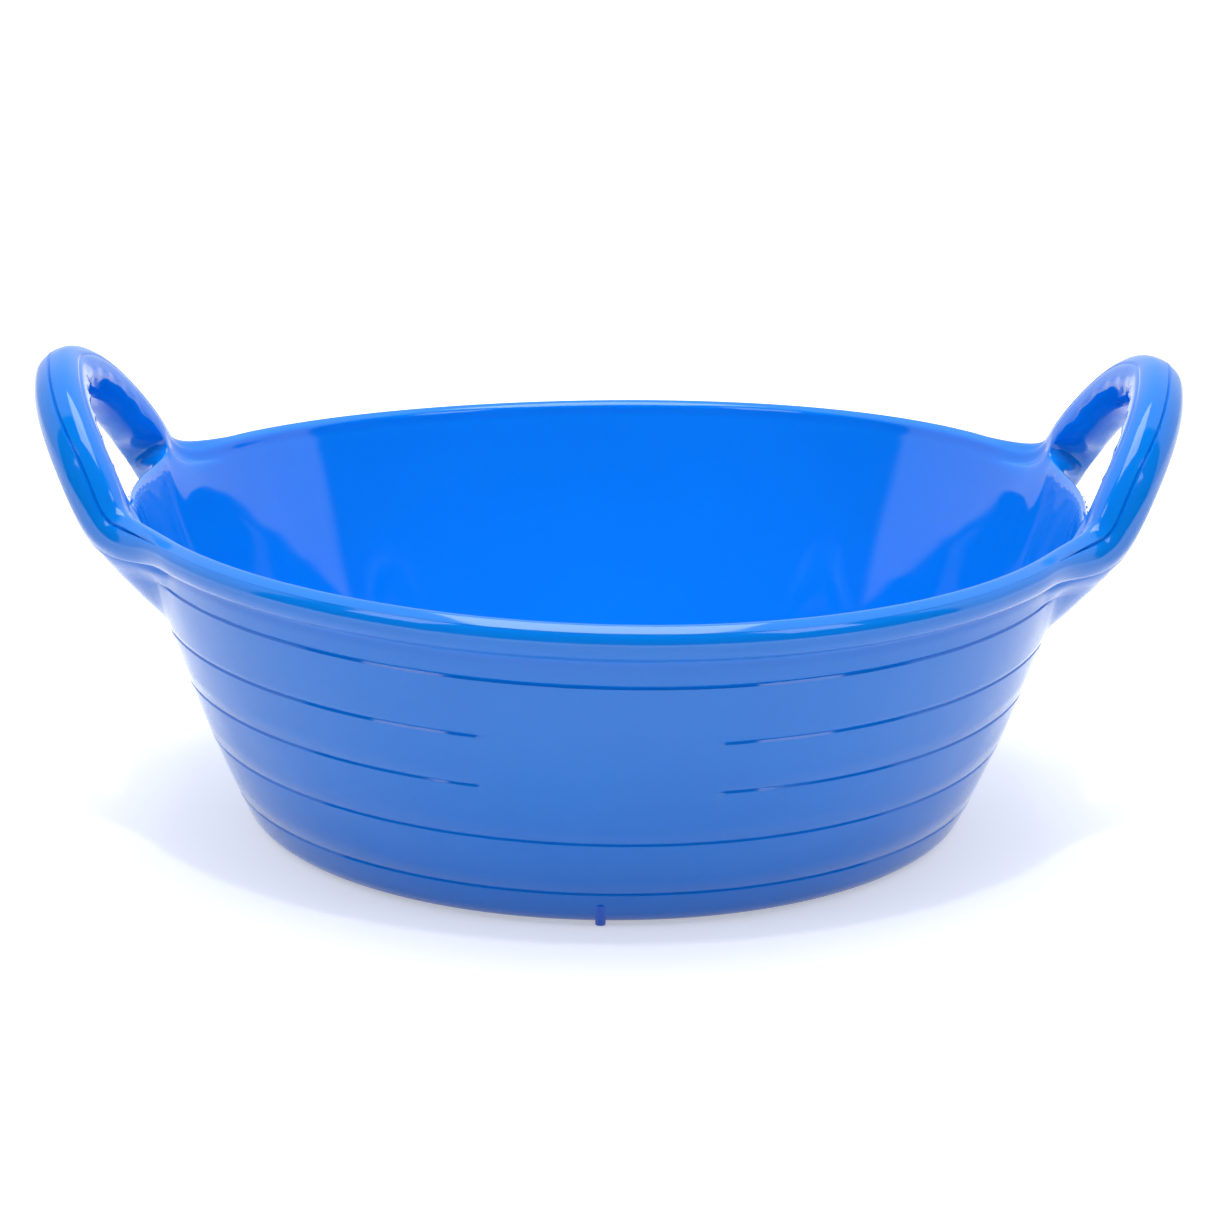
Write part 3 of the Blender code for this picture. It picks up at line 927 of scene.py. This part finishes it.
def studio_world():
    """White behind the tub and dark on the camera's side, as in the photograph's studio."""
    world = bpy.data.worlds.new("studio")
    world.use_nodes = True
    tree = world.node_tree
    background = tree.nodes["Background"]
    background.inputs["Color"].default_value = (1, 1, 1, 1)
    place = add_node(tree, "ShaderNodeTexCoord")
    parts = add_node(tree, "ShaderNodeSeparateXYZ", (), {0: place.outputs["Generated"]})
    behind = add_node(
        tree,
        "ShaderNodeMapRange",
        {
            "interpolation_type": "SMOOTHSTEP",
            "From Min": -0.12,
            "From Max": -0.06,
            "To Min": 0.04,
            "To Max": 1.0,
        },
        {"Value": parts.outputs["Y"]},
    )
    path = add_node(tree, "ShaderNodeLightPath")
    seen = add_node(
        tree,
        "ShaderNodeMath",
        {"operation": "MAXIMUM"},
        {0: path.outputs["Is Camera Ray"], 1: path.outputs["Is Transmission Ray"]},
    )
    shown = add_node(
        tree,
        "ShaderNodeMath",
        {"operation": "MAXIMUM"},
        {0: seen.outputs[0], 1: behind.outputs["Result"]},
    )
    tree.links.new(shown.outputs[0], background.inputs["Strength"])
    return world


# Studio lamps. Each softbox: its name, place, aim, width, depth, watts, and whether it is mirrored
# in the gloss. The two at the sides put the streaks on the handles.
SOFTBOXES = (
    ("overhead_softbox", (0.0, -0.08, 1.5), (0.0, -0.08, 0.1), 0.8, 1.0, 11.8, True),
    ("left_softbox", (-1.02, -0.83, 1.22), (-0.24, -0.08, 0.19), 0.5, 0.7, 3.3, True),
    ("right_softbox", (1.02, -0.83, 1.22), (0.24, -0.08, 0.19), 0.5, 0.7, 3.3, True),
    ("sky_fill", (0.0, 0.0, 2.2), (0.0, 0.0, 0.0), 3.0, 3.0, 14.0, False),
    ("front_fill", (0.0, -1.9, 0.35), (0.0, 0.0, 0.08), 4.0, 0.6, 11.0, False),
)
BOWL_LIGHT_PLACE = (0.0, -0.5, 1.5)
BOWL_LIGHT_AIM = (0.0, 0.05, 0.08)
BOWL_LIGHT_WATTS = 78.0
BOWL_LIGHT_CONE = radians(17.0)

# The photograph's camera, worked out from the rim, the rings and the outline of the base
CAMERA_PLACE = (0.0, -1.37724, 0.47413)
CAMERA_LENS = 92.094
CAMERA_PAN = -0.00104
CAMERA_TILT = radians(90.0 - 15.559)
CAMERA_ROLL = 0.01005

FLOOR_SIZE = 40.0
FLOOR_GAP = 0.5 * MM


def add_lamp(lamp_data, place, aim, mirrored):
    """Hangs a lamp at a place, turned to face its aim."""
    lamp = bpy.data.objects.new(lamp_data.name, lamp_data)
    bpy.context.scene.collection.objects.link(lamp)
    lamp.location = place
    lamp.rotation_euler = (Vector(aim) - Vector(place)).to_track_quat("-Z", "Y").to_euler()
    lamp.visible_camera = False
    lamp.visible_glossy = mirrored


def add_softboxes():
    """The flat rectangular lamps."""
    for name, place, aim, width, depth, watts, mirrored in SOFTBOXES:
        softbox = bpy.data.lights.new(name, "AREA")
        softbox.shape = "RECTANGLE"
        softbox.size = width
        softbox.size_y = depth
        softbox.energy = watts
        add_lamp(softbox, place, aim, mirrored)


def add_bowl_light():
    """A soft lamp whose cone reaches only into the bowl, as the light through its wall does."""
    bowl_light = bpy.data.lights.new("bowl_light", "SPOT")
    bowl_light.energy = BOWL_LIGHT_WATTS
    bowl_light.shadow_soft_size = 0.12
    bowl_light.spot_size = BOWL_LIGHT_CONE
    bowl_light.spot_blend = 0.6
    add_lamp(bowl_light, BOWL_LIGHT_PLACE, BOWL_LIGHT_AIM, False)


def add_camera():
    """The camera of the photograph."""
    camera_data = bpy.data.cameras.new("camera")
    camera_data.sensor_width = 36.0
    camera_data.lens = CAMERA_LENS
    camera = bpy.data.objects.new("camera", camera_data)
    bpy.context.scene.collection.objects.link(camera)
    camera.location = CAMERA_PLACE
    pan = Euler((0, 0, CAMERA_PAN)).to_matrix()
    tilt = Euler((CAMERA_TILT, 0, 0)).to_matrix()
    roll = Euler((0, 0, CAMERA_ROLL)).to_matrix()
    camera.rotation_euler = (pan @ tilt @ roll).to_euler()
    bpy.context.scene.camera = camera


# Operators, one for each piece and one for the stage


class FEEDTUB_OT_moulding(bpy.types.Operator):
    """Bowl, rim and both handles as the one smooth moulding that they are"""

    bl_idname = "feedtub.moulding"
    bl_label = "Moulding"

    def execute(self, context):
        band, tags, goals = make_cage()
        crease_rows(band, tags)
        draw_through(band, goals)
        ring_fade(band)
        extrude_rings(band, RING_HEIGHTS[1], True, outer_profile())
        extrude_rings(band, RING_HEIGHTS[1], False, inner_profile())
        close_poles(band)
        names = [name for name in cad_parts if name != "base_lug_front"]
        finish_piece(band, polyethylene(), names)
        return {"FINISHED"}


class FEEDTUB_OT_lug(bpy.types.Operator):
    """Small upright lug with a round nose, on the base corner at the front"""

    bl_idname = "feedtub.lug"
    bl_label = "Base lug"

    def execute(self, context):
        s = sizes()
        nose = wall_radius(0.0) + s.lug_stand
        middle = Vector((nose - s.lug_depth / 2, 0, s.lug_height / 2))
        deselect()
        bpy.ops.mesh.primitive_cube_add(size=1.0, location=middle)
        lug = context.object
        lug.name = "base_lug"
        lug.scale = (s.lug_depth, s.lug_width, s.lug_height)
        bpy.ops.object.transform_apply(location=True, rotation=True, scale=True)

        def upright_nose(edge):
            rise = abs(edge.verts[0].co.z - edge.verts[1].co.z)
            outer = all(vertex.co.x > middle.x for vertex in edge.verts)
            return outer and rise > s.lug_height / 2

        edit_selection(lug, "EDGE", upright_nose)
        bpy.ops.mesh.bevel(offset=s.lug_nose, segments=4, profile=0.5, affect="EDGES")
        object_mode()

        def top_rim(edge):
            high = all(vertex.co.z > s.lug_height - LUG_TOP_SLACK for vertex in edge.verts)
            return high and any(vertex.co.x > middle.x for vertex in edge.verts)

        edit_selection(lug, "EDGE", top_rim)
        bpy.ops.mesh.bevel(offset=s.lug_rounding, segments=3, profile=0.5, affect="EDGES")
        object_mode()

        # The lug leans out with the wall, and stands where the front is
        for vertex in lug.data.vertices:
            vertex.co.x += wall_slope(0.0) * vertex.co.z
        lug.data.transform(Matrix.Rotation(s.front, 4, "Z"))
        finish_piece(lug, bpy.data.materials["blue_polyethylene"], ["base_lug_front"])
        return {"FINISHED"}


class FEEDTUB_OT_stage(bpy.types.Operator):
    """Pale floor, soft lamps and the camera of the photograph"""

    bl_idname = "feedtub.stage"
    bl_label = "Stage"

    def execute(self, context):
        deselect()
        bpy.ops.mesh.primitive_plane_add(size=FLOOR_SIZE, location=(0, 0, -FLOOR_GAP))
        floor = context.object
        floor.name = "floor"
        floor.data.materials.append(pale_floor())
        context.scene.world = studio_world()
        add_softboxes()
        add_bowl_light()
        add_camera()
        context.scene.view_settings.view_transform = "Standard"
        return {"FINISHED"}


class FEEDTUB_PT_panel(bpy.types.Panel):
    """Lists the makers of the tub and its stage"""

    bl_idname = "FEEDTUB_PT_panel"
    bl_label = "Feed Tub"
    bl_space_type = "VIEW_3D"
    bl_region_type = "UI"
    bl_category = "Feed Tub"

    def draw(self, context):
        for name in ("moulding", "lug", "stage"):
            self.layout.operator("feedtub." + name)


CLASSES = (
    FeedTubSizes,
    FeedTubColours,
    FEEDTUB_OT_moulding,
    FEEDTUB_OT_lug,
    FEEDTUB_OT_stage,
    FEEDTUB_PT_panel,
)


def register():
    for each in CLASSES:
        bpy.utils.register_class(each)
    bpy.types.Scene.feed_tub_sizes = PointerProperty(type=FeedTubSizes)
    bpy.types.Scene.feed_tub_colours = PointerProperty(type=FeedTubColours)


def unregister():
    del bpy.types.Scene.feed_tub_colours
    del bpy.types.Scene.feed_tub_sizes
    for each in reversed(CLASSES):
        bpy.utils.unregister_class(each)


def main():
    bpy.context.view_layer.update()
    register()
    bpy.ops.feedtub.moulding()
    bpy.ops.feedtub.lug()
    bpy.ops.feedtub.stage()


if __name__ == "__main__":
    main()
